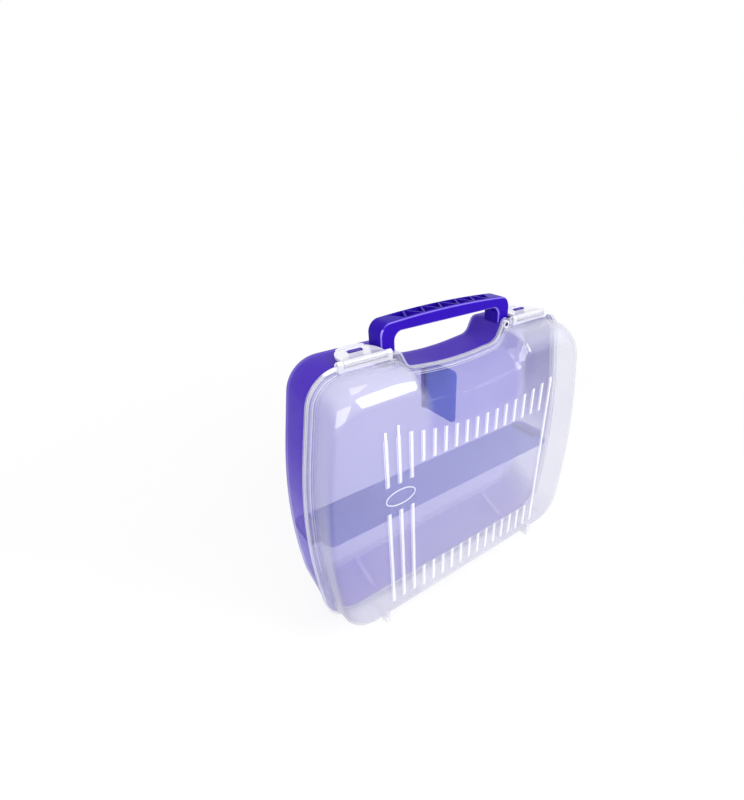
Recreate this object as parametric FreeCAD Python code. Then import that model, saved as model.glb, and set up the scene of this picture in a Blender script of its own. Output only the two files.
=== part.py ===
import FreeCAD, Part
import math
import os

# Carry-along art supply box: a tinted moulded tub, a clear domed lid hinged along its lower edge,
# two flip-over latches, a bow handle and two push-in dividers.
# Millimetres. X runs across the case, Y from the lid's front to the tub's back, Z up. The drawing
# frame has Y = 0 at the parting plane between lid and tub, and the finished pieces are moved along Y
# so that the origin is under the middle of the whole box.

V = FreeCAD.Vector

# Rim outline, seen from the front. Its sides lean two ways and are eased into one bulging curve.
RIM_BOTTOM = 4.0             # lowest edge of the rim above the floor
SHOULDER_TOP = 274.5         # top edge of the rim on both shoulders
SIDE_KNEE_X = 169.3          # where the two leaning lines of a side would meet
SIDE_KNEE_Z = 141.0
LOWER_LEAN = 5.4             # degrees from upright, below and above that meeting point
UPPER_LEAN = 10.8
SIDE_BULGE_RADIUS = 490.0
BOTTOM_CORNER_RADIUS = 40.0
TOP_CORNER_RADIUS = 33.0
LEAST_CORNER_RADIUS = 20.0   # of the corners deep inside the box
NOTCH_TOP_HALF = 60.5        # the hand notch between the shoulders
NOTCH_FOOT_HALF = 52.5
NOTCH_FOOT_Z = 258.3
NOTCH_MIDDLE_Z = 252.4
NOTCH_SHOULDER_RADIUS = 5.0
NOTCH_FOOT_RADIUS = 12.0
NOTCH_FLOOR_RADIUS = 300.0

# Depths and walls
WALL = 2.0
LID_DEPTH = 37.0
BASE_DEPTH = 46.0
PARTING_GAP = 0.3            # between the closed lid and the tub's rim

# Lid: inset of each wall from the rim at the parting plane, its draft, and its round at the front
LID_INSET = 5.5
LID_SIDE = (LID_INSET, 1.0, 6.0)
LID_BOTTOM = (LID_INSET, 6.5, 6.0)
LID_TOP = (LID_INSET, 2.0, 22.0)
LID_NOTCH_FLOOR = (LID_INSET, 3.0, 20.0)
LID_NOTCH_WALL = (LID_INSET, 3.0, 12.0)
FLANGE_THICK = 2.5
BEAD_WIDE = 1.6
BEAD_TALL = 1.0
LIP_CLEAR = 0.6              # locating lip inside the tub's wall
LIP_THICK = 1.4
LIP_REACH = 3.0
LIP_FOOT = 60.0              # the lip stops here, above the sloping bottom

# Tub: the same three values for each wall, towards the back
BASE_SIDE = (1.5, 2.0, 9.0)
BASE_BOTTOM = (4.0, 22.0, 7.0)
BASE_TOP = (1.5, 0.0, 9.0)
BASE_NOTCH_FLOOR = (1.5, 1.0, 7.0)
BASE_NOTCH_WALL = (1.5, 1.0, 7.0)
RIM_INSET = 0.6
RIM_THICK = 3.0

# Ribs and oval pad on the lid's front
RIB_PITCH = 12.7
RIB_HALF_WIDE = 1.6
RIB_TALL = 1.0
RIB_COUNT = 17
LONG_RIB_UPPER_FOOT = 172.6
LONG_RIB_UPPER_TOPS = (227.5, 230.0, 220.0)
LONG_RIB_LOWER = (32.0, 145.0)
SHORT_RIB_FOOT = 184.8
SHORT_RIB_TOP_MIDDLE = 208.5
SHORT_RIB_TOP_ENDS = 216.5
SHORT_RIB_LOWER = (30.0, 59.0)
LAST_RIB = (34.0, 218.0)
OVAL_CENTRE = (-88.9, 158.8)
OVAL_HALF_LENGTH = 16.0
OVAL_HALF_HEIGHT = 8.2
OVAL_RING = 1.1
OVAL_TALL = 0.6

# Feet: thin fins under the lid and the tub
FIN_THICK = 4.2
LID_FIN_X = 107.6
BASE_FIN_X = 98.0
FIN_START = 7.0
FIN_HEEL = 15.0

# Hinge along the lower edge
HINGE_Z = 3.0
KNUCKLE_RADIUS = 2.8
KNUCKLE_LENGTH = 12.0
KNUCKLE_GAP = 0.4
KNUCKLES_PER_HINGE = 5
HINGE_X = 62.0
KNUCKLE_WEB_TOP = 10.0
KNUCKLE_WEB_BACK = 2.4        # far side of the web that joins a knuckle to its rim
HINGE_PIN_RADIUS = 1.25
PIN_FIXED_CLEAR = 0.02
PIN_RUNNING_CLEAR = 0.06

# Latches
LATCH_X = 95.5
LATCH_HALF_LENGTH = 24.5
LATCH_EAR = 4.5
LATCH_END_GAP = 0.4
LATCH_AXIS_Y = -4.6
LATCH_AXIS_Z = 276.6
LATCH_BARREL_RADIUS = 2.7
LATCH_PIN_RADIUS = 1.0
LATCH_PLATE = 2.0
LATCH_TAB_HALF = 19.4
LATCH_TAB_STEP = 2.0         # short slope between the plate's ends and the half-oval tab
LATCH_TAB_REACH = 22.5
LATCH_LIFT = 1.2             # rise of the finger lip at the back of the tab
LATCH_LIP_WIDE = 5.0
LUG_HALF_LENGTH = 6.0
LUG_Y = 8.0
LUG_WIDE = 3.0
LUG_TALL = 7.0
SLOT_CLEAR = 1.0

# Handle
HANDLE_FRONT = 3.6
HANDLE_BACK = 23.6
HANDLE_INNER_HALF = 60.5
HANDLE_OUTER_HALF = 74.5
HANDLE_UNDERSIDE = 288.0
HANDLE_TOP_MIDDLE = 299.0
HANDLE_TOP_ENDS = 296.0
HANDLE_OUTER_RADIUS = 11.0
HANDLE_INNER_RADIUS = 8.0
HANDLE_EDGE_RADIUS = 2.0
HANDLE_POCKETS = 11
POCKET_WALL = 2.6
POCKET_RIB = 2.0
POCKET_FLOOR_Z = 292.5
TENON_INSET = 2.5
TENON_LENGTH = 13.0
TENON_CLEAR = 0.1
SOCKET_WALL = 1.8

# Padlock eye in the lid's right shoulder
EYE_X = 65.0
EYE_Z = 272.5
EYE_HOLE_RADIUS = 2.0
EYE_RING_RADIUS = 3.6
EYE_EAR_RADIUS = 5.8

# Dividers
DIVIDER_THICK = 2.0
SHELF_Z = 114.0
SHELF_HALF_LENGTH = 151.0
SHELF_FRONT = -12.0
SHELF_CORNER_RADIUS = 9.0
CENTRE_FOOT = 187.0
CENTRE_FRONT = -5.5
CENTRE_TOP_CLEAR = 12.0
GUIDE_THICK = 1.6
GUIDE_TALL = 5.0
GUIDE_CLEAR = 0.15
GUIDE_FRONT = 5.0            # front ends of the shelf's guides

OVERLAP = 1.0                # how far a joined solid reaches into the one that carries it
CUT_PAST = 5.0               # how far a cut runs on past the face that it opens
SAME = 0.01                  # lengths closer than this count as equal
ROUND_TURNS = (0.0, 18.0, 36.0, 54.0, 72.0, 90.0)   # steps of the quarter rounds, in degrees
PARTING_Y = (LID_DEPTH + RIB_TALL - BASE_DEPTH) / 2


def moved_line(start, end, inset):
    """The line from start to end, moved to its left by inset, as a point and a unit direction."""
    dx = end[0] - start[0]
    dz = end[1] - start[1]
    length = math.hypot(dx, dz)
    dx /= length
    dz /= length
    return (start[0] - dz * inset, start[1] + dx * inset, dx, dz)


def crossing(first, second):
    """Where two lines, each a point and a direction, cross."""
    ax, az, adx, adz = first
    bx, bz, bdx, bdz = second
    along = ((bx - ax) * bdz - (bz - az) * bdx) / (adx * bdz - adz * bdx)
    return (ax + adx * along, az + adz * along)


def rim_corners(side=0.0, bottom=0.0, top=0.0, floor=0.0, wall=0.0):
    """Right-hand corners of the rim outline, with each straight side moved inwards by its inset."""
    foot_x = SIDE_KNEE_X - math.tan(math.radians(LOWER_LEAN)) * (SIDE_KNEE_Z - RIM_BOTTOM)
    head_x = SIDE_KNEE_X - math.tan(math.radians(UPPER_LEAN)) * (SHOULDER_TOP - SIDE_KNEE_Z)
    marks = [
        (0.0, RIM_BOTTOM),
        (foot_x, RIM_BOTTOM),
        (SIDE_KNEE_X, SIDE_KNEE_Z),
        (head_x, SHOULDER_TOP),
        (NOTCH_TOP_HALF, SHOULDER_TOP),
        (NOTCH_FOOT_HALF, NOTCH_FOOT_Z),
        (0.0, NOTCH_MIDDLE_Z),
    ]
    insets = [bottom, side, side, top, wall, floor]
    lines = [moved_line(marks[i], marks[i + 1], insets[i]) for i in range(6)]
    lines.append((0.0, 0.0, 0.0, 1.0))
    radii = [
        max(BOTTOM_CORNER_RADIUS - min(side, bottom), LEAST_CORNER_RADIUS),
        SIDE_BULGE_RADIUS - side,
        max(TOP_CORNER_RADIUS - min(side, top), LEAST_CORNER_RADIUS),
        NOTCH_SHOULDER_RADIUS,
        NOTCH_FOOT_RADIUS,
        NOTCH_FLOOR_RADIUS,
    ]
    return [crossing(lines[i], lines[i + 1]) + (radii[i],) for i in range(6)]


def rounded_wire(corners, y):
    """Closed outline at depth y through corners (x, z, radius), with an arc at each corner."""
    count = len(corners)
    edges = []
    previous_end = None
    first_start = None
    for i in range(count):
        before = corners[i - 1]
        x, z, radius = corners[i]
        after = corners[(i + 1) % count]
        corner = V(x, y, z)
        back = (V(before[0], y, before[1]) - corner).normalize()
        ahead = (V(after[0], y, after[1]) - corner).normalize()
        half = back.getAngle(ahead) / 2
        reach = radius / math.tan(half)
        bisector = (back + ahead).normalize()
        start = corner + back * reach
        end = corner + ahead * reach
        middle = corner + bisector * (radius / math.sin(half) - radius)
        if previous_end is None:
            first_start = start
        else:
            edges.append(Part.LineSegment(previous_end, start).toShape())
        edges.append(Part.Arc(start, middle, end).toShape())
        previous_end = end
    edges.append(Part.LineSegment(previous_end, first_start).toShape())
    return Part.Wire(edges)


def rim_wire(y, **insets):
    """The whole rim outline at depth y: the right-hand corners and their mirror image."""
    right = rim_corners(**insets)
    left = [(-x, z, radius) for x, z, radius in reversed(right[:-1])]
    return rounded_wire(right + left, y)


def wall_inset(depth, full_depth, plan, extra):
    """Inset of a wall at a depth: its start, its straight draft, then a quarter round at the end."""
    start, draft, radius = plan
    end = full_depth - extra
    radius = radius - extra
    inset = start + extra + draft * depth / full_depth
    into_round = depth - (end - radius)
    if into_round > 0.0:
        inset += radius - math.sqrt(max(radius ** 2 - into_round ** 2, 0.0))
    return inset


def section_depths(full_depth, large, small):
    """Depths of the loft's sections: few on the straight draft, more around the rounds."""
    depths = [0.0, (full_depth - large) / 2, full_depth - large]
    for turn in ROUND_TURNS:
        depths.append(full_depth - large + large * math.sin(math.radians(turn)))
    for turn in ROUND_TURNS:
        depths.append(full_depth - small + small * math.sin(math.radians(turn)))
    return sorted(set(round(depth, 6) for depth in depths))


def bowl(full_depth, direction, side, bottom, top, floor, wall, extra=0.0):
    """Solid dome of the rim outline: lofted from the parting plane to its flat end face."""
    radii = [plan[2] - extra for plan in (side, bottom, top, floor, wall)]
    wires = []
    for depth in section_depths(full_depth - extra, max(radii), min(radii)):
        insets = {
            "side": wall_inset(depth, full_depth, side, extra),
            "bottom": wall_inset(depth, full_depth, bottom, extra),
            "top": wall_inset(depth, full_depth, top, extra),
            "floor": wall_inset(depth, full_depth, floor, extra),
            "wall": wall_inset(depth, full_depth, wall, extra),
        }
        wires.append(rim_wire(direction * depth, **insets))
    return Part.makeLoft(wires, True, True)


def slab(inset, y_low, y_high):
    """Flat slab of the rim outline with one inset all round."""
    insets = dict.fromkeys(("side", "bottom", "top", "floor", "wall"), inset)
    return Part.Face(rim_wire(y_low, **insets)).extrude(V(0, y_high - y_low, 0))


def ring(outer_inset, inner_inset, y_low, y_high):
    """Band of the rim outline between two insets."""
    return slab(outer_inset, y_low, y_high).cut(slab(inner_inset, y_low, y_high))


def box(x_low, x_high, y_low, y_high, z_low, z_high):
    """Plain block between two corners."""
    return Part.makeBox(x_high - x_low, y_high - y_low, z_high - z_low, V(x_low, y_low, z_low))


def rod(x_low, x_high, y, z, radius):
    """Cylinder along X."""
    return Part.makeCylinder(radius, x_high - x_low, V(x_low, y, z), V(1, 0, 0))


def prism_x(points, x_low, x_high):
    """Straight-sided outline of (y, z) points, extruded along X."""
    corners = [V(x_low, y, z) for y, z in points]
    face = Part.Face(Part.makePolygon(corners + corners[:1]))
    return face.extrude(V(x_high - x_low, 0, 0))


def lid_dome(extra=0.0):
    """The lid's dome, or with extra its inside."""
    dome = bowl(LID_DEPTH - PARTING_GAP, -1, LID_SIDE, LID_BOTTOM, LID_TOP, LID_NOTCH_FLOOR,
                LID_NOTCH_WALL, extra)
    dome.translate(V(0, -PARTING_GAP, 0))
    return dome


def tub_bowl(extra=0.0):
    """The tub's outside, or with extra its inside."""
    return bowl(BASE_DEPTH, 1, BASE_SIDE, BASE_BOTTOM, BASE_TOP, BASE_NOTCH_FLOOR,
                BASE_NOTCH_WALL, extra)


def half_round_rib(x, z_low, z_high):
    """Upright half-round rib with ball ends, standing proud of the lid's front face."""
    radius = (RIB_HALF_WIDE ** 2 + RIB_TALL ** 2) / (2 * RIB_TALL)
    y = -LID_DEPTH - RIB_TALL + radius
    bar = Part.makeCylinder(radius, z_high - z_low - 2 * radius, V(x, y, z_low + radius), V(0, 0, 1))
    ends = [Part.makeSphere(radius, V(x, y, z)) for z in (z_low + radius, z_high - radius)]
    return bar.multiFuse(ends)


def front_ribs():
    """All the ribs: long broken ones at the left, two rows of short ones, one long one at the right."""
    middle = (RIB_COUNT - 1) / 2
    ribs = []
    for i in range(RIB_COUNT):
        x = (i - middle) * RIB_PITCH
        if i < len(LONG_RIB_UPPER_TOPS):
            ribs.append(half_round_rib(x, LONG_RIB_UPPER_FOOT, LONG_RIB_UPPER_TOPS[i]))
            ribs.append(half_round_rib(x, *LONG_RIB_LOWER))
        elif i == RIB_COUNT - 1:
            ribs.append(half_round_rib(x, *LAST_RIB))
        else:
            reach = (i - middle - 1) / (middle - 2)
            top = SHORT_RIB_TOP_MIDDLE + (SHORT_RIB_TOP_ENDS - SHORT_RIB_TOP_MIDDLE) * reach ** 2
            ribs.append(half_round_rib(x, SHORT_RIB_FOOT, top))
            ribs.append(half_round_rib(x, *SHORT_RIB_LOWER))
    return ribs


def oval_pad():
    """Plain raised oval ring on the lid's front, left blank inside."""
    x, z = OVAL_CENTRE

    def oval(grow):
        ellipse = Part.Ellipse(V(0, 0, 0), OVAL_HALF_LENGTH + grow, OVAL_HALF_HEIGHT + grow)
        face = Part.Face(Part.Wire(ellipse.toShape()))
        face.rotate(V(0, 0, 0), V(1, 0, 0), 90)
        face.translate(V(x, -LID_DEPTH + WALL / 2, z))
        return face.extrude(V(0, -WALL / 2 - OVAL_TALL, 0))

    return oval(0.0).cut(oval(-OVAL_RING))


def hinge_knuckles(wanted, y_web):
    """Knuckles of one half of both hinges, with a web up into that half's rim."""
    solids = []
    pitch = KNUCKLE_LENGTH + KNUCKLE_GAP
    for hinge in (-HINGE_X, HINGE_X):
        for i in range(KNUCKLES_PER_HINGE):
            if i % 2 == wanted:
                x = hinge + (i - KNUCKLES_PER_HINGE / 2) * pitch + KNUCKLE_GAP / 2
                solids.append(rod(x, x + KNUCKLE_LENGTH, 0, HINGE_Z, KNUCKLE_RADIUS))
                web_end = y_web + KNUCKLE_WEB_BACK - PARTING_GAP
                web = box(x, x + KNUCKLE_LENGTH, y_web, web_end, HINGE_Z, KNUCKLE_WEB_TOP)
                solids.append(web)
    return solids


def hinge_clearance(other):
    """Round room around the other half's knuckles."""
    solids = []
    pitch = KNUCKLE_LENGTH + KNUCKLE_GAP
    for hinge in (-HINGE_X, HINGE_X):
        for i in range(KNUCKLES_PER_HINGE):
            if i % 2 == other:
                x = hinge + (i - KNUCKLES_PER_HINGE / 2) * pitch
                solids.append(rod(x, x + pitch, 0, HINGE_Z, KNUCKLE_RADIUS + KNUCKLE_GAP))
    return solids


def hinge_bores(radius):
    """Holes for both hinge pins."""
    half = KNUCKLES_PER_HINGE * (KNUCKLE_LENGTH + KNUCKLE_GAP) / 2 + OVERLAP
    return [rod(x - half, x + half, 0, HINGE_Z, radius) for x in (-HINGE_X, HINGE_X)]


def lid_fins():
    """Two thin feet under the lid, from a sloping heel behind to the front edge."""
    front = -LID_DEPTH + LID_BOTTOM[2] / 2
    top = RIM_BOTTOM + LID_BOTTOM[0] + LID_BOTTOM[1] + LID_BOTTOM[2]
    profile = [(-FIN_START, top), (-FIN_START, RIM_BOTTOM + LID_INSET), (front + FIN_HEEL / 2, 0.0),
               (front, 0.0), (front, top)]
    return [prism_x(profile, x - FIN_THICK / 2, x + FIN_THICK / 2) for x in (-LID_FIN_X, LID_FIN_X)]


def tub_fins():
    """Two thin feet under the tub, at other places across than the lid's."""
    back = BASE_DEPTH - BASE_BOTTOM[2] / 2
    top = RIM_BOTTOM + BASE_BOTTOM[0] + BASE_BOTTOM[1] + BASE_BOTTOM[2]
    profile = [(FIN_START, top), (FIN_START, RIM_BOTTOM + BASE_BOTTOM[0]), (back - FIN_HEEL, 0.0),
               (back, 0.0), (back, top)]
    return [prism_x(profile, x - FIN_THICK / 2, x + FIN_THICK / 2) for x in (-BASE_FIN_X, BASE_FIN_X)]


def latch_ears(x):
    """Platform on one shoulder of the lid, with an ear at each end to carry the latch's pin."""
    low = x - LATCH_HALF_LENGTH
    high = x + LATCH_HALF_LENGTH
    foot = SHOULDER_TOP - LID_INSET - WALL / 2
    front = LATCH_AXIS_Y - LATCH_BARREL_RADIUS + LATCH_END_GAP
    deck = LATCH_AXIS_Z - LATCH_BARREL_RADIUS - LATCH_END_GAP
    solids = [box(low, high, front, -PARTING_GAP, foot, deck)]
    for start in (low, high - LATCH_EAR):
        solids.append(box(start, start + LATCH_EAR, front, -PARTING_GAP, foot, LATCH_AXIS_Z))
        solids.append(rod(start, start + LATCH_EAR, LATCH_AXIS_Y, LATCH_AXIS_Z, LATCH_BARREL_RADIUS))
    return solids


def padlock_ear():
    """Round ear of the lid's flange with a raised ring on its front."""
    back = -PARTING_GAP
    front = back - FLANGE_THICK
    ear = Part.makeCylinder(EYE_EAR_RADIUS, FLANGE_THICK, V(EYE_X, front, EYE_Z), V(0, 1, 0))
    eye_ring = Part.makeCylinder(EYE_RING_RADIUS, FLANGE_THICK + BEAD_TALL,
                                 V(EYE_X, front - BEAD_TALL, EYE_Z), V(0, 1, 0))
    hole = Part.makeCylinder(EYE_HOLE_RADIUS, LID_DEPTH, V(EYE_X, -LID_DEPTH / 2, EYE_Z), V(0, 1, 0))
    return [ear, eye_ring], hole


def lid_shell():
    """Clear lid: ribbed dome, flange with a bead, locating lip, feet, latch ears and knuckles."""
    front = -PARTING_GAP - FLANGE_THICK
    flange = ring(0.0, LID_INSET + WALL / 2, front, -PARTING_GAP)
    bead = ring(0.0, BEAD_WIDE, front - BEAD_TALL, front)
    lip_outer = BASE_SIDE[0] + WALL + LIP_CLEAR
    lip = ring(lip_outer, lip_outer + LIP_THICK, -PARTING_GAP - FLANGE_THICK / 2, LIP_REACH)
    lip = lip.cut(box(-SIDE_KNEE_X, SIDE_KNEE_X, -BASE_DEPTH, BASE_DEPTH, 0, LIP_FOOT))
    ear_solids, hole = padlock_ear()
    outside = front_ribs() + lid_fins() + ear_solids
    for x in (-LATCH_X, LATCH_X):
        outside += latch_ears(x)
    shell = lid_dome().multiFuse([flange, bead] + outside)
    shell = shell.cut(lid_dome(WALL))
    shell = shell.multiFuse([lip, oval_pad()] + hinge_knuckles(1, -KNUCKLE_WEB_BACK))
    cuts = [hole] + hinge_clearance(0) + hinge_bores(HINGE_PIN_RADIUS + PIN_RUNNING_CLEAR)
    between = LATCH_HALF_LENGTH - LATCH_EAR
    for x in (-LATCH_X, LATCH_X):
        cuts.append(rod(x - LATCH_HALF_LENGTH, x + LATCH_HALF_LENGTH, LATCH_AXIS_Y, LATCH_AXIS_Z,
                        LATCH_PIN_RADIUS + PIN_FIXED_CLEAR))
        cuts.append(rod(x - between, x + between, LATCH_AXIS_Y, LATCH_AXIS_Z,
                        LATCH_BARREL_RADIUS + LATCH_END_GAP))
    return shell.cut(cuts)


def handle_leg(x_sign, grow, z_low, z_high):
    """Upright block of one handle leg, shrunk or grown all round by grow."""
    edges = sorted((x_sign * (HANDLE_INNER_HALF - grow), x_sign * (HANDLE_OUTER_HALF + grow)))
    return box(edges[0], edges[1], HANDLE_FRONT - grow, HANDLE_BACK + grow, z_low, z_high)


def shoulder_z():
    """Top of the tub's shoulders where the handle and the latch lugs stand."""
    return SHOULDER_TOP - BASE_TOP[0] - BASE_TOP[1]


def divider_guides():
    """Ribs inside the tub that hold the shelf by its ends and back, and the centre divider."""
    half = DIVIDER_THICK / 2 + GUIDE_CLEAR
    back = BASE_DEPTH
    solids = []
    for side in (-1, 1):
        inner = side * (SHELF_HALF_LENGTH - GUIDE_TALL)
        outer = side * SIDE_KNEE_X
        low, high = sorted((inner, outer))
        for z in (SHELF_Z - half - GUIDE_THICK, SHELF_Z + half):
            solids.append(box(low, high, GUIDE_FRONT, back, z, z + GUIDE_THICK))
        start = half if side > 0 else -half - GUIDE_THICK
        solids.append(box(start, start + GUIDE_THICK, BASE_DEPTH - WALL - GUIDE_TALL, back,
                          CENTRE_FOOT, NOTCH_MIDDLE_Z))
    return solids


def base_tub():
    """Tinted tub: bowl, rim, feet, handle sockets, latch lugs, divider guides and knuckles."""
    rim = ring(RIM_INSET, BASE_SIDE[0] + WALL / 2, 0.0, RIM_THICK)
    bowl_solid = tub_bowl()
    top = shoulder_z()
    lugs = []
    for x in (-LATCH_X, LATCH_X):
        lugs.append(box(x - LUG_HALF_LENGTH, x + LUG_HALF_LENGTH, LUG_Y, LUG_Y + LUG_WIDE,
                        top - OVERLAP, top + LUG_TALL))
    outside = [rim] + tub_fins() + lugs
    shell = bowl_solid.multiFuse(outside).cut(tub_bowl(WALL))
    inside = divider_guides()
    for side in (-1, 1):
        inside.append(handle_leg(side, SOCKET_WALL + TENON_CLEAR - TENON_INSET,
                                 top - TENON_LENGTH, top))
    inside = [solid.common(bowl_solid) for solid in inside]
    shell = shell.multiFuse(inside + hinge_knuckles(0, PARTING_GAP))
    cuts = hinge_clearance(1) + hinge_bores(HINGE_PIN_RADIUS + PIN_FIXED_CLEAR)
    for side in (-1, 1):
        cuts.append(handle_leg(side, TENON_CLEAR - TENON_INSET, top - TENON_LENGTH - CUT_PAST,
                               top + CUT_PAST))
    return shell.cut(cuts)


def handle():
    """Bow handle: crowned grip with triangular pockets on top, two legs and their tenons."""
    arc_top = Part.Arc(V(-HANDLE_OUTER_HALF, 0, HANDLE_TOP_ENDS), V(0, 0, HANDLE_TOP_MIDDLE),
                       V(HANDLE_OUTER_HALF, 0, HANDLE_TOP_ENDS)).toShape()
    foot = shoulder_z()
    corners = [
        V(HANDLE_OUTER_HALF, 0, HANDLE_TOP_ENDS), V(HANDLE_OUTER_HALF, 0, foot),
        V(HANDLE_INNER_HALF, 0, foot), V(HANDLE_INNER_HALF, 0, HANDLE_UNDERSIDE),
        V(-HANDLE_INNER_HALF, 0, HANDLE_UNDERSIDE), V(-HANDLE_INNER_HALF, 0, foot),
        V(-HANDLE_OUTER_HALF, 0, foot), V(-HANDLE_OUTER_HALF, 0, HANDLE_TOP_ENDS),
    ]
    lines = [Part.LineSegment(corners[i], corners[i + 1]).toShape() for i in range(len(corners) - 1)]
    face = Part.Face(Part.Wire([arc_top] + lines))
    face.translate(V(0, HANDLE_FRONT, 0))
    bow = face.extrude(V(0, HANDLE_BACK - HANDLE_FRONT, 0))
    bow = bow.makeFillet(HANDLE_OUTER_RADIUS, across_edges(bow, HANDLE_OUTER_HALF, HANDLE_TOP_ENDS))
    bow = bow.makeFillet(HANDLE_INNER_RADIUS, across_edges(bow, HANDLE_INNER_HALF, HANDLE_UNDERSIDE))
    long_edges = [edge for edge in bow.Edges if edge.BoundBox.YLength < SAME
                  and edge.BoundBox.ZMin > foot + SAME]
    upright = [edge for edge in bow.Edges if edge.BoundBox.YLength < SAME
               and edge.BoundBox.XLength < SAME and edge.BoundBox.ZLength > HANDLE_EDGE_RADIUS]
    bow = bow.makeFillet(HANDLE_EDGE_RADIUS, unique_edges(long_edges + upright))
    bow = bow.cut(grip_pockets())
    tenons = [handle_leg(side, -TENON_INSET, foot - TENON_LENGTH, foot + OVERLAP) for side in (-1, 1)]
    return bow.multiFuse(tenons)


def across_edges(solid, half, z):
    """Edges of a solid that run along Y at x = +half and -half and height z."""
    found = []
    for edge in solid.Edges:
        bounds = edge.BoundBox
        if bounds.XLength < SAME and bounds.ZLength < SAME:
            if abs(abs(bounds.XMin) - half) < SAME and abs(bounds.ZMin - z) < SAME:
                found.append(edge)
    return found


def unique_edges(edges):
    """The same edges, each once."""
    kept = []
    for edge in edges:
        if not any(edge.isSame(other) for other in kept):
            kept.append(edge)
    return kept


def grip_pockets():
    """Triangular pockets in the grip's top, pointing forwards and backwards by turns."""
    front = HANDLE_FRONT + POCKET_WALL
    back = HANDLE_BACK - POCKET_WALL
    pitch = 2 * (HANDLE_INNER_HALF - POCKET_WALL) / (HANDLE_POCKETS + 1)
    half_base = pitch - POCKET_RIB
    pockets = []
    for i in range(HANDLE_POCKETS):
        x = (i - (HANDLE_POCKETS - 1) / 2) * pitch
        wide, point = (front, back) if i % 2 else (back, front)
        corners = [V(x - half_base, wide, POCKET_FLOOR_Z), V(x + half_base, wide, POCKET_FLOOR_Z),
                   V(x, point, POCKET_FLOOR_Z)]
        face = Part.Face(Part.makePolygon(corners + corners[:1]))
        pockets.append(face.extrude(V(0, 0, HANDLE_TOP_MIDDLE + CUT_PAST - POCKET_FLOOR_Z)))
    return pockets


def latch(x):
    """Clear flip-over latch: barrel, plate with a half-oval tab, lug slot and finger lip."""
    half = LATCH_HALF_LENGTH - LATCH_EAR - LATCH_END_GAP
    barrel = rod(x - half, x + half, LATCH_AXIS_Y, LATCH_AXIS_Z, LATCH_BARREL_RADIUS)
    top = LATCH_AXIS_Z + LATCH_BARREL_RADIUS - LATCH_END_GAP
    low = top - LATCH_PLATE
    tab_y = LATCH_AXIS_Y + LATCH_BARREL_RADIUS
    tab = LATCH_TAB_HALF
    outline = [
        Part.LineSegment(V(x - half, LATCH_AXIS_Y, low), V(x + half, LATCH_AXIS_Y, low)).toShape(),
        Part.LineSegment(V(x + half, LATCH_AXIS_Y, low), V(x + half, tab_y, low)).toShape(),
        Part.LineSegment(V(x + half, tab_y, low), V(x + tab, tab_y + LATCH_TAB_STEP, low)).toShape(),
        Part.Arc(V(x + tab, tab_y + LATCH_TAB_STEP, low), V(x, LATCH_TAB_REACH, low),
                 V(x - tab, tab_y + LATCH_TAB_STEP, low)).toShape(),
        Part.LineSegment(V(x - tab, tab_y + LATCH_TAB_STEP, low), V(x - half, tab_y, low)).toShape(),
        Part.LineSegment(V(x - half, tab_y, low), V(x - half, LATCH_AXIS_Y, low)).toShape(),
    ]
    face = Part.Face(Part.Wire(outline))
    plate = face.extrude(V(0, 0, LATCH_PLATE))
    lip_start = LATCH_TAB_REACH - LATCH_LIP_WIDE
    lip = face.extrude(V(0, 0, LATCH_PLATE + LATCH_LIFT))
    lip = lip.common(box(x - tab, x + tab, lip_start, LATCH_TAB_REACH + OVERLAP, low,
                         top + LATCH_LIFT))
    slot = box(x - LUG_HALF_LENGTH - SLOT_CLEAR, x + LUG_HALF_LENGTH + SLOT_CLEAR,
               LUG_Y - SLOT_CLEAR, LUG_Y + LUG_WIDE + 2 * SLOT_CLEAR, low - CUT_PAST,
               top + CUT_PAST)
    bore = rod(x - half - OVERLAP, x + half + OVERLAP, LATCH_AXIS_Y, LATCH_AXIS_Z,
               LATCH_PIN_RADIUS + PIN_RUNNING_CLEAR)
    return barrel.multiFuse([plate, lip]).cut([slot, bore])


def latch_pin(x):
    """Steel wire pin of one latch."""
    return rod(x - LATCH_HALF_LENGTH, x + LATCH_HALF_LENGTH, LATCH_AXIS_Y, LATCH_AXIS_Z,
               LATCH_PIN_RADIUS)


def hinge_pin(x):
    """Steel wire pin of one hinge."""
    half = KNUCKLES_PER_HINGE * (KNUCKLE_LENGTH + KNUCKLE_GAP) / 2
    return rod(x - half, x + half, 0, HINGE_Z, HINGE_PIN_RADIUS)


def shelf_divider():
    """Level shelf across the tub, standing a little forward into the lid."""
    half = SHELF_HALF_LENGTH
    back = BASE_DEPTH - WALL - GUIDE_CLEAR
    plate = box(-half, half, SHELF_FRONT, back, SHELF_Z - DIVIDER_THICK / 2, SHELF_Z + DIVIDER_THICK / 2)
    corners = [edge for edge in plate.Edges if edge.BoundBox.ZLength > SAME]
    return plate.makeFillet(SHELF_CORNER_RADIUS, corners)


def centre_divider():
    """Upright divider below the hand notch, with its front corners rounded."""
    half = DIVIDER_THICK / 2
    top = NOTCH_MIDDLE_Z - CENTRE_TOP_CLEAR
    plate = box(-half, half, CENTRE_FRONT, BASE_DEPTH - WALL - GUIDE_CLEAR, CENTRE_FOOT, top)
    corners = [edge for edge in plate.Edges if edge.BoundBox.XLength > SAME
               and edge.BoundBox.YMax < 0]
    return plate.makeFillet(SHELF_CORNER_RADIUS / 2, corners)


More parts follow.
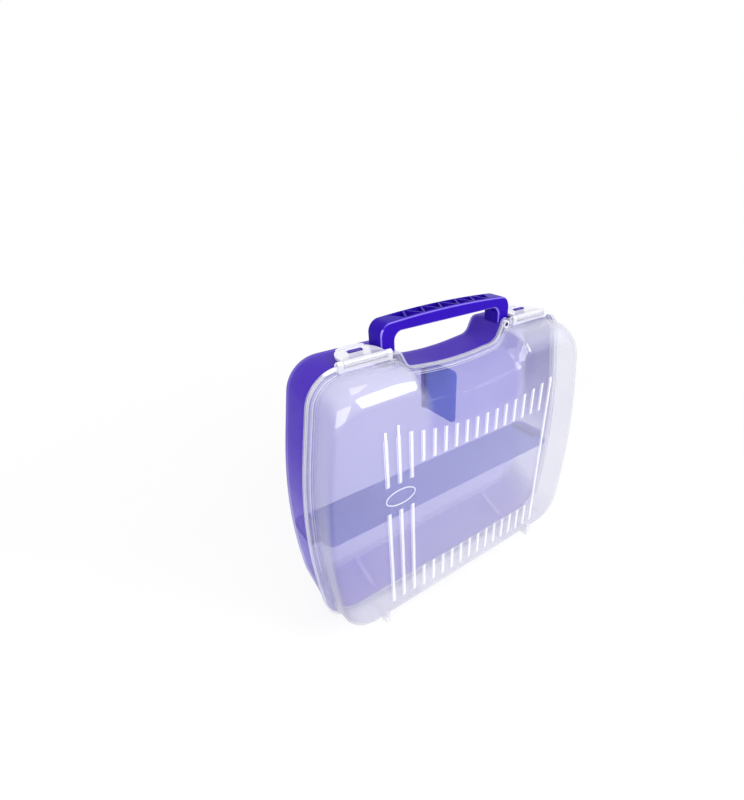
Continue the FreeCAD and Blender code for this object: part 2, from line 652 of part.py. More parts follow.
def main():
    """Build every piece, move it into the part's frame and write it."""
    os.makedirs("parts", exist_ok=True)
    pieces = {
        "base_tub": base_tub(),
        "lid_shell": lid_shell(),
        "handle": handle(),
        "latch_left": latch(-LATCH_X),
        "latch_right": latch(LATCH_X),
        "latch_pin_left": latch_pin(-LATCH_X),
        "latch_pin_right": latch_pin(LATCH_X),
        "hinge_pin_left": hinge_pin(-HINGE_X),
        "hinge_pin_right": hinge_pin(HINGE_X),
        "shelf_divider": shelf_divider(),
        "centre_divider": centre_divider(),
    }
    for name, shape in pieces.items():
        shape.translate(V(0, PARTING_Y, 0))
        print(name, shape.isValid(), len(shape.Solids), round(shape.Volume), shape.BoundBox)
        shape.Solids[0].exportStep("parts/" + name + ".step")


if __name__ == "__main__":
    main()
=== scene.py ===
import math

import bpy
import numpy as np
from mathutils import Matrix, Vector


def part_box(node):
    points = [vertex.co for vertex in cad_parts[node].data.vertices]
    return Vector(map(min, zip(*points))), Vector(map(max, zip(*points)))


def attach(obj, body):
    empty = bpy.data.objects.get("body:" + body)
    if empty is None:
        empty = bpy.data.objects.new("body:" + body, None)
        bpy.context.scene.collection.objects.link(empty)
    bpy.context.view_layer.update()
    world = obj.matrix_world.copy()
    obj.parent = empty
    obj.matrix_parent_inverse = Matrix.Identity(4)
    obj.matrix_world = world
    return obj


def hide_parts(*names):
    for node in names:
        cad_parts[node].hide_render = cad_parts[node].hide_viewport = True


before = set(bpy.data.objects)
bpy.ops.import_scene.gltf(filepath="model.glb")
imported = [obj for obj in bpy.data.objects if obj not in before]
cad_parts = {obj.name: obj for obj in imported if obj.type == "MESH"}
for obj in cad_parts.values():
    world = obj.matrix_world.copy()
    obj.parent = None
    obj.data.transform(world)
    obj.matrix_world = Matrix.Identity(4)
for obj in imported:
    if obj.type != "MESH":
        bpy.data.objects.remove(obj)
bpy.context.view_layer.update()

LID_LOW, LID_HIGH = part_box("lid_shell")
HANDLE_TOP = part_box("handle")[1].z

# Camera: place in metres, angles in degrees, sensor in millimetres, and the frame in pixels that its shift
# is worked out for
CAMERA_PLACE = Vector((-0.2713, -0.3053, 0.4079))
CAMERA_AZIMUTH = math.radians(38.58)
CAMERA_ELEVATION = math.radians(32.63)
CAMERA_NEAR = 0.01
FRAME_WIDTH = 744
FRAME_HEIGHT = 800
FOCAL_PIXELS = 463.3
VANISHING_CENTRE = (426.3, 453.7)
SENSOR = 36.0

# Lamps: place, aim and size in metres, power in watts
LAMPS = {
    "key_softbox": ((0.46, -0.80, 0.82), (-0.08, -0.03, 0.24), (0.46, 0.75), 6.5),
    "fill_softbox": ((-0.82, -0.90, 0.94), (-0.13, -0.03, 0.23), (1.8, 1.0), 15.0),
    "top_softbox": ((0.22, -0.08, 1.35), (-0.08, -0.03, 0.26), (0.5, 0.35), 1.2),
}

# White stage: the floor's half width in metres, the share of white specks in its paper, its glow beside
# the box, the start and width of the glow's rise to full white, the surround's light and plain white
FLOOR_HALF = 6.0
SPECK_SHARE = 0.2
FLOOR_GLOW = 0.80
GLOW_RISE = (0.3, 0.5)
SURROUND_LIGHT = 0.64
PLAIN_WHITE = 1.0

# Soft edges of painted steps, in metres
HAIR = 0.00005
SHARP = 0.0001
LINE = 0.0002
STEP = 0.001

# Ribs on the lid's front, in metres: three long broken ones at the left, two rows of short ones, whose
# upper tops follow a parabola, and a whole one at the right
RIB_PITCH = 0.0127
RIB_TALL = 0.001
LID_FRONT = LID_LOW.y + RIB_TALL
RIBS_MARGIN = 0.003
RIBS_HALF = 8 * RIB_PITCH + RIBS_MARGIN
LONG_RIBS_END = 5.5 * RIB_PITCH
LAST_RIB_START = 7.5 * RIB_PITCH
LONG_RIB_LOWER = (0.032, 0.145)
LONG_RIB_UPPER = (0.1726, 0.220)
SHORT_RIB_LOWER = (0.030, 0.059)
SHORT_RIB_FOOT = 0.1848
SHORT_RIB_TOP = 0.2085
SHORT_RIB_RISE = 0.008
SHORT_RIB_REACH = 6 * RIB_PITCH

# Rib paint, in metres: start and width of the steps up to the form and its crest, the milky foot beside
# the form, the shade along the foot's left, and how far behind the front's plane they reach
RIB_FORM = (0.00003, 0.0001)
RIB_CREST = (0.00035, 0.0003)
RIB_FOOT_HALF = 0.0025
FLANK_HALF = 0.0006
FLANK_SOFT = 0.0004
FRONT_DEEP = 0.0004

# Other places on the lid, in metres; NOTCH_RISE is the start and width of a step
FLANGE_DEEP = 0.0058
BEAD_TALL = 0.0011
EAR_TALL = 0.0088
FLANGE_FRONT = LID_HIGH.y - FLANGE_DEEP
BEAD_FRONT = FLANGE_FRONT - BEAD_TALL
SHOULDER_DECK = LID_HIGH.z - EAR_TALL
SHOULDER_SOFT = 0.004
EAR_START = 0.0705
EAR_SOFT = 0.0005
NOTCH_HALF = 0.060
NOTCH_REACH = 0.078
NOTCH_SIDE_SOFT = 0.01
NOTCH_RISE = (0.185, 0.03)
FOOT_Z = 0.03
FIN_Z = 0.012
FIN_SOFT = 0.004
EYE_X = 0.065
EYE_Z = 0.2725
EYE_RING = 0.0036
EYE_BORE = 0.0021

# Places on the tinted pieces and the handle, in metres; LEFT_END is the start and width of a step
WALL_PALE_Z = 0.085
WALL_DEEP_Z = 0.215
LEFT_END = (0.06, 0.05)
POCKET_DEEP = 0.0065
POCKET_FLOOR = HANDLE_TOP - POCKET_DEEP

# Start and width of the steps by how far a surface faces the front, the top or a side
FACING_FRONT = (0.9, 0.05)
FACING_UP = (0.15, 0.6)
FACING_SIDE = (0.5, 0.4)

# Noise: features per metre, stretch along the axes, and detail of mottling and of grain
CLEAR_MOTTLE = 22.0
CLEAR_FLOW = 60.0
FLOW_STRETCH = (0.35, 1.0, 1.4)
TINTED_MOTTLE = 14.0
TINTED_GRAIN = 900.0
HANDLE_MOTTLE = 35.0
HANDLE_GRAIN = 1100.0
WIRE_LINES = 1500.0
WIRE_STRETCH = (0.02, 1.0, 1.0)
PAPER_SPECKS = 300.0
MOTTLE_DETAIL = 3.0
GRAIN_DETAIL = 2.0

# Relief: share of the finer noise, depth in metres and strength
FLOW_SHARE = 0.7
TINTED_GRAIN_SHARE = 0.6
HANDLE_GRAIN_SHARE = 0.5
CLEAR_RELIEF = (0.00012, 0.5)
TINTED_RELIEF = (0.00008, 0.4)
HANDLE_RELIEF = (0.00008, 0.5)
WIRE_RELIEF = (0.00003, 0.5)

# Roughness from the smooth to the dull mottles, and the shine of the body under the gloss
CLEAR_ROUGHNESS = (0.22, 0.34)
TINTED_ROUGHNESS = (0.34, 0.50)
HANDLE_ROUGHNESS = (0.24, 0.40)
WIRE_ROUGHNESS = (0.25, 0.45)
PAPER_ROUGHNESS = 1.0
CLEAR_SHINE = 0.3
TINTED_SHINE = 0.03
HANDLE_SHINE = 0.04

# Gloss: its roughness and its share on the lid, in the hand notch and on tinted walls, the part of it
# that shows straight on, and the powers by which gloss and haze rise towards edge on
CLEAR_GLOSS_ROUGHNESS = 0.05
TINTED_GLOSS_ROUGHNESS = 0.2
CLEAR_GLOSS = 0.8
NOTCH_GLOSS = 0.04
TINTED_GLOSS = 0.12
STRAIGHT_GLOSS = 0.08
GLOSS_POWER = 5
HAZE_POWER = 3

# Clear plastic: mottling of its haze, haze left in and around the notch, milk at thick or turned places and
# painted light on the shoulders, how white that milk is, and how far it hides the painted shade of the
# sides
HAZE_MOTTLE = (0.85, 1.15)
NOTCH_HAZE = 0.4
AROUND_NOTCH_HAZE = 0.2
RIB_FORM_MILK = 0.2
RIB_CREST_MILK = 0.35
RIB_FOOT_MILK = 0.4
FLANK_MILK = 0.2
BEAD_MILK = 0.5
FLANGE_MILK = 0.10
# Painted light on the shoulders' upward faces, and milk at the feet
SHOULDER_LIGHT_FOOT_MILK = 0.14
TURNED_MILK = 0.45
MILK_WHITE = 1.6
RIB_GREY = 0.3
MILK_HIDES = 3.0

# Tinted plastic: cover of level floors as a part of the walls' cover, least cover of low walls, parts that
# height, mottling and turned places have in the tint and the cover, and the colour filter's share with what
# walls, sides and the left end take from it
FLOOR_COVER = 0.8
LOW_COVER = 0.55
RISE_TINT = 0.8
MOTTLE_TINT = 0.3
PALE_OFFSET = 0.05
TURNED_COVER = 0.1
MOTTLE_COVER = 0.06
FILTER_SHARE = 0.6
WALL_TAKES = 0.65
SIDE_TAKES = 0.35
END_TAKES = 0.5

# Painted highlight along the handle's rounds: sharpness and share of its paler colour
EDGE_HIGHLIGHT_POWER = 6
EDGE_HIGHLIGHT_SHARE = (0.35, 0.85)

# Corners that are the same to a micrometre are one, and rounds shade smoothly up to the angle
STEPS_PER_METRE = 1e6
SMOOTH_ANGLE = math.radians(32)

# See-through walls that light can pass
WALLS_PASSED = 48

# Colours, as linear light
CLEAR_HAZE = (0.68, 0.68, 0.80, 1.0)
CLEAR_EDGE = (0.96, 0.96, 0.99, 1.0)
# Painted shade of the lid's side walls and of the left of each rib's foot
CLEAR_SIDE_SHADE = (0.46, 0.46, 0.64, 1.0)
# Painted shade in the padlock eye's hole
BORE_SHADE = (0.07, 0.05, 0.20, 1.0)
VIOLET_PALE = (0.260, 0.190, 0.68, 1.0)
VIOLET_DEEP = (0.047, 0.007, 0.43, 1.0)
VIOLET_FILTER = (0.53, 0.51, 0.88, 1.0)
SHELF_PALE = (0.090, 0.080, 0.54, 1.0)
SHELF_DEEP = (0.040, 0.050, 0.56, 1.0)
UPRIGHT_PALE = (0.15, 0.18, 0.66, 1.0)
UPRIGHT_DEEP = (0.085, 0.145, 0.70, 1.0)
BLUE_FILTER = (0.38, 0.46, 0.88, 1.0)
HANDLE_VIOLET = (0.026, 0.005, 0.36, 1.0)
HANDLE_SHADE = (0.020, 0.003, 0.30, 1.0)
# Painted highlight on the handle's rounds
HANDLE_EDGE_HIGHLIGHT = (0.36, 0.28, 0.90, 1.0)
PIN_STEEL = (0.56, 0.56, 0.58, 1.0)
PIN_DARK = (0.40, 0.40, 0.42, 1.0)
FLOOR_WHITE = (0.92, 0.92, 0.92, 1.0)
PAPER_WHITE = (1.0, 1.0, 1.0, 1.0)


class Value:
    """One shader output, with arithmetic that adds Math nodes."""

    def __init__(self, paint, socket):
        self.paint = paint
        self.socket = socket

    def maths(self, operation, first, second=None, clamp=False):
        """A Math node on one or two values."""
        inputs = {0: first}
        if second is not None:
            inputs[1] = second
        settings = {"operation": operation, "use_clamp": clamp}
        return self.paint.node("ShaderNodeMath", settings, inputs)

    def __add__(self, other):
        return self.maths("ADD", self, other)

    def __radd__(self, other):
        return self.maths("ADD", other, self)

    def __sub__(self, other):
        return self.maths("SUBTRACT", self, other)

    def __rsub__(self, other):
        return self.maths("SUBTRACT", other, self)

    def __mul__(self, other):
        return self.maths("MULTIPLY", self, other)

    def __rmul__(self, other):
        return self.maths("MULTIPLY", other, self)

    def __truediv__(self, other):
        return self.maths("DIVIDE", self, other)

    def __rtruediv__(self, other):
        return self.maths("DIVIDE", other, self)

    def __pow__(self, other):
        return self.maths("POWER", self, other)

    def __rpow__(self, other):
        return self.maths("POWER", other, self)

    def __neg__(self):
        return 0.0 - self

    def __abs__(self):
        return self.maths("ABSOLUTE", self)

    def clamped(self):
        """The value kept between 0 and 1."""
        return self.maths("ADD", self, 0.0, clamp=True)

    def larger(self, other):
        """The larger of two values."""
        return self.maths("MAXIMUM", self, other)

    def ranged(self, low, high):
        """low where the value is 0, high where it is 1, in a straight line."""
        return low + (high - low) * self

    def to_nearest(self, pitch):
        """Distance to the nearest whole multiple of a pitch."""
        return self.maths("PINGPONG", self, pitch / 2)


class Paint:
    """The node tree of one material or of the world."""

    def __init__(self, owner):
        owner.use_nodes = True
        self.tree = owner.node_tree
        self.tree.nodes.clear()

    def node(self, kind, settings=None, inputs=None, output=0):
        """Adds a node: its settings first, then the values or links of its sockets."""
        made = self.tree.nodes.new(kind)
        for name, value in (settings or {}).items():
            setattr(made, name, value)
        for name, value in (inputs or {}).items():
            if isinstance(value, Value):
                self.tree.links.new(value.socket, made.inputs[name])
            else:
                made.inputs[name].default_value = value
        if output is None:
            return made
        return Value(self, made.outputs[output])

    def coordinates(self):
        """The place of a spot in the object's own axes, in metres."""
        return self.node("ShaderNodeTexCoord", output="Object")

    def split(self, vector):
        """The x, y and z of a vector."""
        parts = self.node("ShaderNodeSeparateXYZ", inputs={0: vector}, output=None)
        return [Value(self, socket) for socket in parts.outputs]

    def lie(self):
        """How far the surface faces along x, y and z, each from 0 to 1."""
        normal = self.node("ShaderNodeTexCoord", output="Normal")
        return [abs(part) for part in self.split(normal)]

    def noise(self, coordinates, scale, detail, stretch=None):
        """Noise from 0 to 1, stretched along the axes where a stretch is given."""
        if stretch:
            coordinates = self.node("ShaderNodeMapping", inputs={"Vector": coordinates, "Scale": stretch})
        inputs = {"Vector": coordinates, "Scale": scale, "Detail": detail}
        return self.node("ShaderNodeTexNoise", inputs=inputs)

    def blend(self, factor, first, second):
        """Colour between two colours."""
        settings = {"data_type": "RGBA", "clamp_factor": True}
        return self.node("ShaderNodeMix", settings, {0: factor, 6: first, 7: second}, output=2)

    def bump(self, height, depth, strength):
        """Normal of a fine relief."""
        inputs = {"Height": height, "Distance": depth, "Strength": strength}
        return self.node("ShaderNodeBump", inputs=inputs)

    def grazing(self):
        """0 where the surface faces the eye, 1 where it is seen edge on."""
        return self.node("ShaderNodeLayerWeight", inputs={"Blend": 0.5}, output="Facing")

    def surface(self, inputs):
        """A Principled surface."""
        return self.node("ShaderNodeBsdfPrincipled", inputs=inputs)

    def mixed(self, share, first, second):
        """The first shader, replaced by the second in the given share."""
        return self.node("ShaderNodeMixShader", inputs={0: share, 1: first, 2: second})

    def finish(self, shader, kind="ShaderNodeOutputMaterial"):
        """Links the last shader to the output."""
        self.node(kind, inputs={"Surface": shader}, output=None)


def new_material(name):
    """A material with an empty node tree."""
    material = bpy.data.materials.new(name)
    return material, Paint(material)


def mask(value, start, width):
    """0 before start, 1 past start by width, in a straight line between."""
    return ((value - start) / width).clamped()


def between(value, low, high, width):
    """1 between low and high, 0 outside, with soft ends."""
    return mask(value, low, width) * mask(high - value, 0.0, width)


def mixture(coarse, fine, share):
    """The coarse noise, with a share of the fine one in its place."""
    return coarse * (1.0 - share) + fine * share


def rib_rows(x, z):
    """1 along the heights where the lid's front has ribs."""
    left = mask(-x, LONG_RIBS_END, SHARP)
    right = mask(x, LAST_RIB_START, SHARP)
    short_top = SHORT_RIB_TOP + SHORT_RIB_RISE * ((x - RIB_PITCH) / SHORT_RIB_REACH) ** 2
    short = between(z, *SHORT_RIB_LOWER, STEP) + between(z, SHORT_RIB_FOOT, short_top, STEP)
    broken = between(z, *LONG_RIB_LOWER, STEP) + between(z, *LONG_RIB_UPPER, STEP)
    whole = between(z, SHORT_RIB_LOWER[0], LONG_RIB_UPPER[1], STEP)
    ribbed = mask(RIBS_HALF - abs(x), 0.0, SHARP)
    return ribbed * (left * broken + right * whole + (1.0 - left - right) * short)


def rib_marks(x, y, z, along):
    """The ribs' own form, the milk of form, crest and foot, and the shade along the left of each foot."""
    form = mask(LID_FRONT - y, *RIB_FORM)
    crest = mask(LID_FRONT - y, *RIB_CREST)
    front = mask(along, *FACING_FRONT) * mask(LID_FRONT + FRONT_DEEP - y, 0.0, LINE) * rib_rows(x, z)
    foot = front * mask(RIB_FOOT_HALF - x.to_nearest(RIB_PITCH), 0.0, FLANK_SOFT)
    to_flank = (x + RIB_FOOT_HALF).to_nearest(RIB_PITCH)
    flank = front * mask(FLANK_HALF - to_flank, 0.0, FLANK_SOFT)
    milk = RIB_FORM_MILK * form + RIB_CREST_MILK * crest + RIB_FOOT_MILK * foot * (1.0 - form)
    return form, milk, flank


def eye_marks(x, y, z):
    """The padlock eye's ring and the painted shade on the wall of its hole, by the distance from the hole's
    axis.
    """
    to_eye = ((x - EYE_X) ** 2 + (z - EYE_Z) ** 2) ** 0.5
    ring = mask(EYE_RING - to_eye, 0.0, LINE) * mask(y, BEAD_FRONT, LINE)
    return ring, ring * mask(EYE_BORE - to_eye, 0.0, HAIR)


def notch_marks(z, from_middle, flange):
    """The clear wall inside the hand notch, and the wider stretch with the notch's side walls."""
    height = mask(z, *NOTCH_RISE) * (1.0 - flange)
    inside = mask(NOTCH_HALF - from_middle, 0.0, NOTCH_SIDE_SOFT) * height
    around = mask(NOTCH_REACH - from_middle, 0.0, NOTCH_SIDE_SOFT) * height
    return inside, around


def see_through(paint, body, relief, gloss_roughness, gloss_share):
    """A thin see-through moulding: the hazy body, with a mirror gloss that grows at grazing angles."""
    gloss = paint.node("ShaderNodeBsdfGlossy", inputs={"Roughness": gloss_roughness, "Normal": relief})
    share = gloss_share * (STRAIGHT_GLOSS + paint.grazing() ** GLOSS_POWER)
    return paint.mixed(share, body, gloss)


def clear_moulding(name, haze, deck_haze):
    """Clear polypropylene: a faint haze, clearer in the hand notch, whiter on ribs, bead, eye and feet,
    with painted light on the shoulders, painted shade on the side walls and in the eye's hole, and fine
    flow marks."""
    material, paint = new_material(name)
    coordinates = paint.coordinates()
    x, y, z = paint.split(coordinates)
    across, along, up = paint.lie()
    from_middle = abs(x)
    mottle = paint.noise(coordinates, CLEAR_MOTTLE, MOTTLE_DETAIL)
    flow = paint.noise(coordinates, CLEAR_FLOW, GRAIN_DETAIL, FLOW_STRETCH)
    relief = paint.bump(mixture(mottle, flow, FLOW_SHARE), *CLEAR_RELIEF)

    rib, rib_milk, rib_flank_shade = rib_marks(x, y, z, along)
    ring, bore_shade = eye_marks(x, y, z)
    bead = between(y, BEAD_FRONT, FLANGE_FRONT, LINE)
    flange = mask(y, FLANGE_FRONT, LINE)
    notch, around_notch = notch_marks(z, from_middle, flange)
    deck = mask(z, SHOULDER_DECK, STEP) * mask(from_middle, EAR_START, EAR_SOFT)
    # Painted light: the shoulders turn whiter the more they face up
    shoulder_light = mask(up, *FACING_UP) * mask(from_middle, NOTCH_HALF, SHOULDER_SOFT)
    foot = mask(FOOT_Z - z, 0.0, FOOT_Z) + mask(FIN_Z - z, 0.0, FIN_SOFT)

    edge_milk = BEAD_MILK * (bead + ring) + FLANGE_MILK * flange
    thick = (rib_milk + edge_milk + deck_haze * deck + SHOULDER_LIGHT_FOOT_MILK * (shoulder_light + foot)).clamped()
    milky = paint.blend(MILK_WHITE * thick - RIB_GREY * rib, CLEAR_HAZE, CLEAR_EDGE)
    # Painted shade: the lid's side walls and the left of each rib's foot take a darker, greyer colour
    side = (mask(across, *FACING_SIDE) - MILK_HIDES * thick - foot).clamped() + rib_flank_shade
    turned = paint.grazing() ** HAZE_POWER * around_notch.ranged(1.0, AROUND_NOTCH_HAZE)
    film = haze * mottle.ranged(*HAZE_MOTTLE) * notch.ranged(1.0, NOTCH_HAZE)
    body = paint.surface({
        # Base colour carries the painted shade of the eye's hole
        "Base Color": paint.blend(bore_shade, paint.blend(side, milky, CLEAR_SIDE_SHADE), BORE_SHADE),
        "Roughness": mottle.ranged(*CLEAR_ROUGHNESS),
        "Alpha": (film + TURNED_MILK * turned + thick + FLANK_MILK * rib_flank_shade).clamped(),
        "Specular IOR Level": CLEAR_SHINE,
        "Normal": relief,
    })
    gloss_share = notch.ranged(CLEAR_GLOSS, NOTCH_GLOSS)
    paint.finish(see_through(paint, body, relief, CLEAR_GLOSS_ROUGHNESS, gloss_share))
    return material


def tinted_moulding(name, cover, wall_cover, end_cover, pale, deep, colour_filter):
    """Tinted see-through polypropylene: deeper in the upright walls towards the top, in the floor of the
    tub and towards the left end, satin, with a fine moulded grain."""
    material, paint = new_material(name)
    coordinates = paint.coordinates()
    x, _, z = paint.split(coordinates)
    across, along, up = paint.lie()
    mottle = paint.noise(coordinates, TINTED_MOTTLE, MOTTLE_DETAIL)
    grain = paint.noise(coordinates, TINTED_GRAIN, GRAIN_DETAIL)
    relief = paint.bump(mixture(mottle, grain, TINTED_GRAIN_SHARE), *TINTED_RELIEF)

    rise = mask(z, WALL_PALE_Z, WALL_DEEP_Z - WALL_PALE_Z)
    low = 1.0 - rise
    wall = wall_cover * ((1.0 - along) * rise + FLOOR_COVER * up * low)
    left_end = end_cover * mask(-x, *LEFT_END) * low * (1.0 - across)
    flat_cover = cover * (along + rise).clamped().ranged(LOW_COVER, 1.0)
    turned = paint.grazing() ** HAZE_POWER
    depth = RISE_TINT * rise + left_end + MOTTLE_TINT * mottle - PALE_OFFSET
    body = paint.surface({
        "Base Color": paint.blend(depth, pale, deep),
        "Roughness": mottle.ranged(*TINTED_ROUGHNESS),
        "Alpha": (flat_cover + wall + left_end + TURNED_COVER * turned + MOTTLE_COVER * mottle).clamped(),
        "Specular IOR Level": TINTED_SHINE,
        "Normal": relief,
    })
    tint = paint.node("ShaderNodeBsdfTransparent", inputs={"Color": colour_filter})
    tint_share = FILTER_SHARE - WALL_TAKES * wall - SIDE_TAKES * across * low - END_TAKES * left_end
    filtered = paint.mixed(tint_share.clamped(), body, tint)
    paint.finish(see_through(paint, filtered, relief, TINTED_GLOSS_ROUGHNESS, TINTED_GLOSS))
    return material


def handle_moulding():
    """Deep violet polypropylene in a thick wall: satin, with a fine grain, and a painted highlight along
    its rounds. Twice the product of how far a round faces its two sides is 1 along its middle."""
    material, paint = new_material("handle_moulding")
    coordinates = paint.coordinates()
    _, _, z = paint.split(coordinates)
    across, along, up = paint.lie()
    mottle = paint.noise(coordinates, HANDLE_MOTTLE, MOTTLE_DETAIL)
    grain = paint.noise(coordinates, HANDLE_GRAIN, GRAIN_DETAIL)
    relief = paint.bump(mixture(mottle, grain, HANDLE_GRAIN_SHARE), *HANDLE_RELIEF)
    below_pockets = mask(POCKET_FLOOR - z, 0.0, STEP)
    # Painted highlight: a paler lilac along the middle of the handle's rounds
    edge_highlight = (2.0 * along * (up + across * below_pockets)).clamped() ** EDGE_HIGHLIGHT_POWER
    plain = paint.blend(mottle, HANDLE_SHADE, HANDLE_VIOLET)
    body = paint.surface({
        "Base Color": paint.blend(edge_highlight * mottle.ranged(*EDGE_HIGHLIGHT_SHARE), plain, HANDLE_EDGE_HIGHLIGHT),
        "Roughness": mottle.ranged(*HANDLE_ROUGHNESS),
        "Specular IOR Level": HANDLE_SHINE,
        "Normal": relief,
    })
    paint.finish(body)
    return material


def drawn_wire():
    """Drawn steel wire: fine lines along the pin."""
    material, paint = new_material("drawn_wire")
    lines = paint.noise(paint.coordinates(), WIRE_LINES, GRAIN_DETAIL, WIRE_STRETCH)
    body = paint.surface({
        "Base Color": paint.blend(lines, PIN_DARK, PIN_STEEL),
        "Metallic": 1.0,
        "Roughness": lines.ranged(*WIRE_ROUGHNESS),
        "Normal": paint.bump(lines, *WIRE_RELIEF),
    })
    paint.finish(body)
    return material


def merged_piece(name, node, body, material):
    """The node's own triangles, with corners that are the same to a micrometre made one and triangles
    that lose a corner by it left out, so that its rounds shade smoothly."""
    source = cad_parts[node].data
    places = np.empty(len(source.vertices) * 3, np.float32)
    source.vertices.foreach_get("co", places)
    places = places.reshape(-1, 3)
    source.calc_loop_triangles()
    corners = np.empty(len(source.loop_triangles) * 3, np.int32)
    source.loop_triangles.foreach_get("vertices", corners)
    keys = np.round(places * STEPS_PER_METRE).astype(np.int64)
    _, first, renamed = np.unique(keys, axis=0, return_index=True, return_inverse=True)
    triangles = renamed.reshape(-1)[corners].reshape(-1, 3)
    a, b, c = triangles.T
    triangles = triangles[(a != b) & (b != c) & (a != c)]
    mesh = bpy.data.meshes.new(name)
    mesh.from_pydata(places[first].tolist(), [], triangles.tolist())
    mesh.validate()
    mesh.shade_smooth()
    mesh.set_sharp_from_angle(angle=SMOOTH_ANGLE)
    mesh.materials.append(material)
    piece = bpy.data.objects.new(name, mesh)
    bpy.context.scene.collection.objects.link(piece)
    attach(piece, body)
    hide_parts(node)


def dress_box():
    """Every node of the box with its finish."""
    clear = clear_moulding("clear_moulding", haze=0.10, deck_haze=0.40)
    latch_clear = clear_moulding("latch_clear_moulding", haze=0.34, deck_haze=0.12)
    tinted = tinted_moulding("tinted_moulding", cover=0.22, wall_cover=0.75, end_cover=0.16,
                             pale=VIOLET_PALE, deep=VIOLET_DEEP, colour_filter=VIOLET_FILTER)
    shelf = tinted_moulding("shelf_moulding", cover=0.44, wall_cover=0.34, end_cover=0.70,
                            pale=SHELF_PALE, deep=SHELF_DEEP, colour_filter=BLUE_FILTER)
    upright = tinted_moulding("upright_moulding", cover=0.58, wall_cover=0.30, end_cover=0.0,
                              pale=UPRIGHT_PALE, deep=UPRIGHT_DEEP, colour_filter=BLUE_FILTER)
    grip = handle_moulding()
    wire = drawn_wire()
    finishes = {
        "base_tub": ("tub", "tinted_plastic", tinted),
        "lid_shell": ("lid", "clear_plastic", clear),
        "handle": ("tub", "handle_plastic", grip),
        "latch_left": ("left_latch", "clear_plastic", latch_clear),
        "latch_right": ("right_latch", "clear_plastic", latch_clear),
        "shelf_divider": ("tub", "tinted_plastic", shelf),
        "centre_divider": ("tub", "tinted_plastic", upright),
        "latch_pin_left": ("lid", "pin_steel", wire),
        "latch_pin_right": ("lid", "pin_steel", wire),
        "hinge_pin_left": ("tub", "pin_steel", wire),
        "hinge_pin_right": ("tub", "pin_steel", wire),
    }
    for node, (body, slot, material) in finishes.items():
        merged_piece(node + "_finished", node, body, material)


def seen_directly(paint):
    """1 for a ray that shows the background to the eye, straight on, in a gloss or through plastic."""
    path = paint.node("ShaderNodeLightPath", output=None)
    camera = Value(paint, path.outputs["Is Camera Ray"])
    glossy = Value(paint, path.outputs["Is Glossy Ray"])
    through = Value(paint, path.outputs["Is Transmission Ray"])
    return camera.larger(glossy).larger(through)


def floor_paper():
    """White paper that keeps a soft shadow near the box and is plain white further off."""
    material, paint = new_material("floor_paper")
    coordinates = paint.coordinates()
    x, y, _ = paint.split(coordinates)
    specks = paint.noise(coordinates, PAPER_SPECKS, GRAIN_DETAIL)
    paper = paint.surface({
        "Base Color": paint.blend(specks * SPECK_SHARE, FLOOR_WHITE, PAPER_WHITE),
        "Roughness": PAPER_ROUGHNESS,
        "Specular IOR Level": 0.0,
    })
    glow = paint.node("ShaderNodeEmission", inputs={"Color": PAPER_WHITE, "Strength": PLAIN_WHITE})
    far = mask((x * x + y * y) ** 0.5, *GLOW_RISE)
    paint.finish(paint.mixed(seen_directly(paint) * far.ranged(FLOOR_GLOW, 1.0), paper, glow))
    return material


def build_floor():
    """Wide level floor under the box."""
    half = FLOOR_HALF
    mesh = bpy.data.meshes.new("floor")
    corners = [(-half, -half, 0), (half, -half, 0), (half, half, 0), (-half, half, 0)]
    mesh.from_pydata(corners, [], [(0, 1, 2, 3)])
    mesh.materials.append(floor_paper())
    floor = bpy.data.objects.new("floor", mesh)
    bpy.context.scene.collection.objects.link(floor)


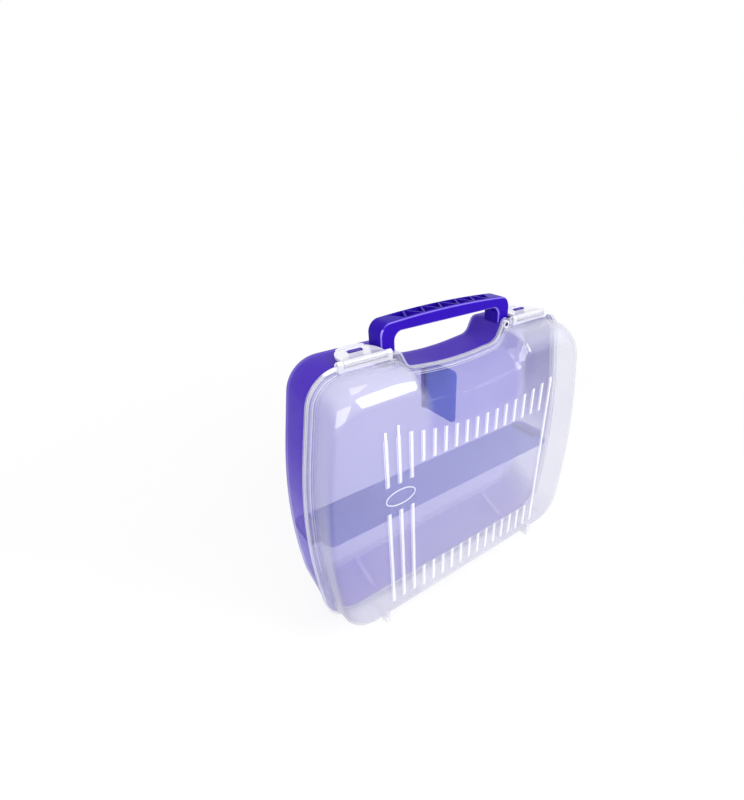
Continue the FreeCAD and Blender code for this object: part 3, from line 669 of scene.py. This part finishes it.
def build_surround():
    """Soft light from all round, which shows itself as plain white."""
    world = bpy.data.worlds.new("surround")
    bpy.context.scene.world = world
    paint = Paint(world)
    soft = paint.node("ShaderNodeBackground", inputs={"Color": PAPER_WHITE, "Strength": SURROUND_LIGHT})
    white = paint.node("ShaderNodeBackground", inputs={"Color": PAPER_WHITE, "Strength": PLAIN_WHITE})
    paint.finish(paint.mixed(seen_directly(paint), soft, white), "ShaderNodeOutputWorld")


def add_softbox(name, place, aim, size, power):
    """Rectangular studio lamp turned towards a point of the box."""
    lamp = bpy.data.lights.new(name, "AREA")
    lamp.shape = "RECTANGLE"
    lamp.size, lamp.size_y = size
    lamp.energy = power
    lamp_object = bpy.data.objects.new(name, lamp)
    bpy.context.scene.collection.objects.link(lamp_object)
    direction = Vector(aim) - Vector(place)
    turn = direction.to_track_quat("-Z", "Y").to_matrix().to_4x4()
    lamp_object.matrix_world = Matrix.Translation(Vector(place)) @ turn


def build_lights():
    """A key softbox above at the right front, a wide fill at the left and a weak one overhead."""
    for name, (place, aim, size, power) in LAMPS.items():
        add_softbox(name, place, aim, size, power)


def build_camera():
    """Camera at the photograph's place, with the shift that its framing needs."""
    longer_side = max(FRAME_WIDTH, FRAME_HEIGHT)
    data = bpy.data.cameras.new("camera")
    data.sensor_width = SENSOR
    data.lens = FOCAL_PIXELS * SENSOR / longer_side
    data.shift_x = (FRAME_WIDTH / 2 - VANISHING_CENTRE[0]) / longer_side
    data.shift_y = (VANISHING_CENTRE[1] - FRAME_HEIGHT / 2) / longer_side
    data.clip_start = CAMERA_NEAR
    camera = bpy.data.objects.new("camera", data)
    bpy.context.scene.collection.objects.link(camera)
    level = math.cos(CAMERA_ELEVATION)
    forward = Vector((math.sin(CAMERA_AZIMUTH) * level, math.cos(CAMERA_AZIMUTH) * level,
                      -math.sin(CAMERA_ELEVATION)))
    right = Vector((math.cos(CAMERA_AZIMUTH), -math.sin(CAMERA_AZIMUTH), 0.0))
    turn = Matrix((right, right.cross(forward), -forward)).transposed().to_4x4()
    camera.matrix_world = Matrix.Translation(CAMERA_PLACE) @ turn
    bpy.context.scene.camera = camera


dress_box()
build_floor()
build_surround()
build_lights()
build_camera()
bpy.context.scene.view_settings.view_transform = "Standard"
bpy.context.scene.cycles.transparent_max_bounces = WALLS_PASSED
